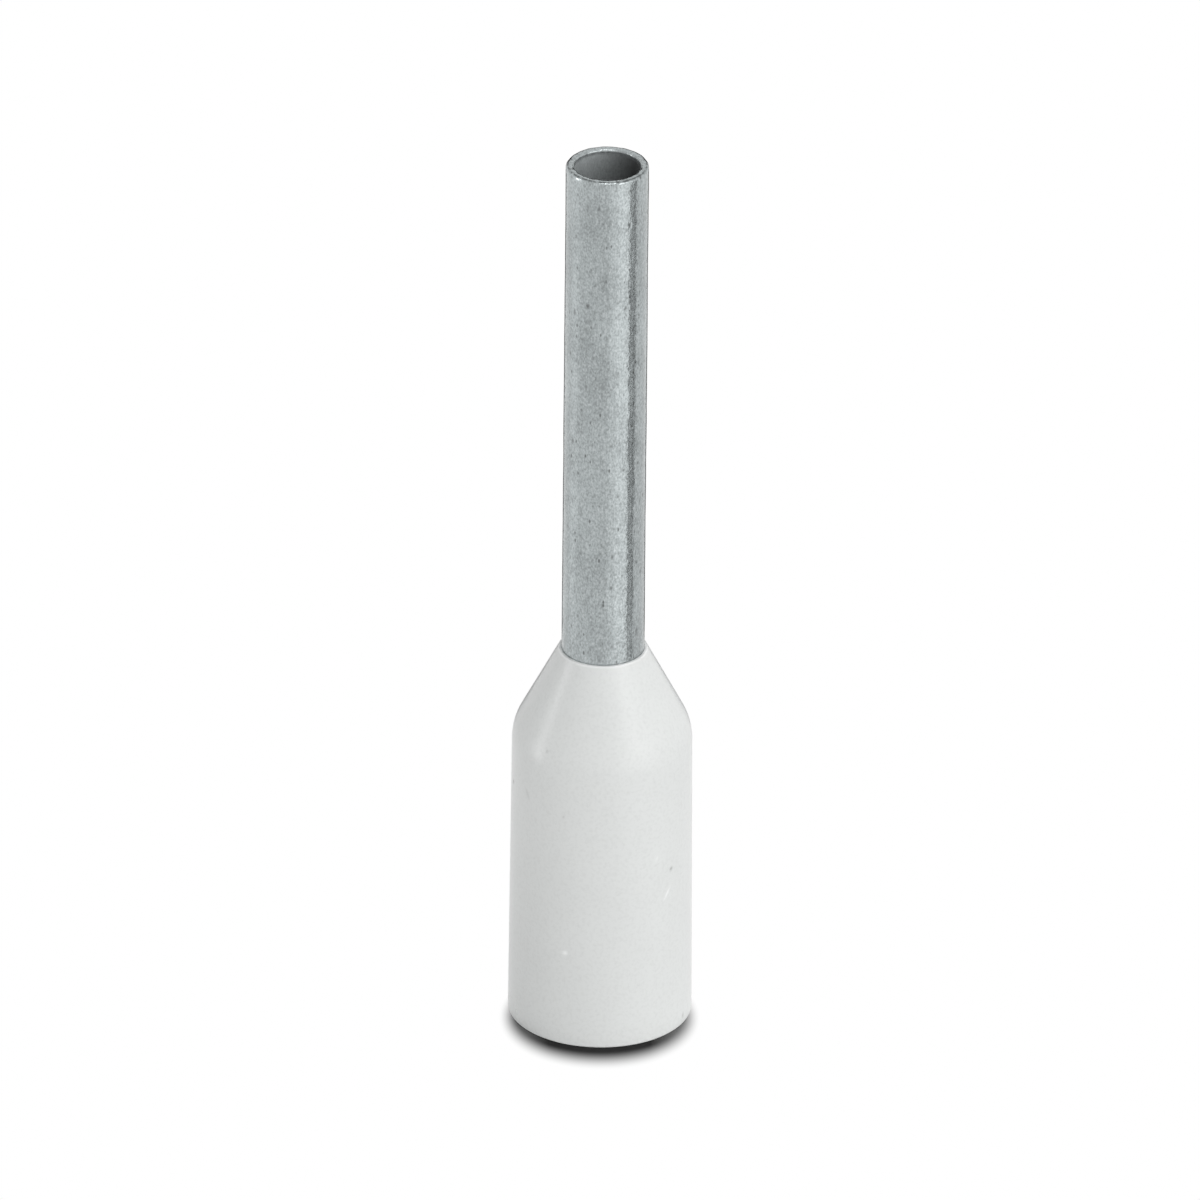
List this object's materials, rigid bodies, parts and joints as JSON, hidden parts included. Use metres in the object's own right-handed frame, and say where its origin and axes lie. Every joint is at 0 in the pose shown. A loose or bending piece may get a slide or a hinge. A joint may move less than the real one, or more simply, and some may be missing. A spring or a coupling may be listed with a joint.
{
  "type": "wire ferrule",
  "caption": "Insulated wire end ferrule: a tinned copper sleeve, flared at its hidden end, in a white plastic collar with a conical shoulder, which takes the wire's insulation.",
  "frame": {"origin": "centre of the collar's open mouth, in the plane that the ferrule stands on", "axes": "+Z along the sleeve, from the collar's mouth towards the sleeve's free end; X and Y are any two directions across it, as the part is round"},
  "size_m": [0.0028, 0.0028, 0.014],
  "materials": {
    "tinned_copper": "satin tin plating, tumbled, finely pitted",
    "white_plastic": "white polypropylene, satin as moulded"
  },
  "bodies": {
    "root": {"crimp_sleeve": "tinned_copper", "insulating_collar": "white_plastic"}
  },
  "joints": []
}
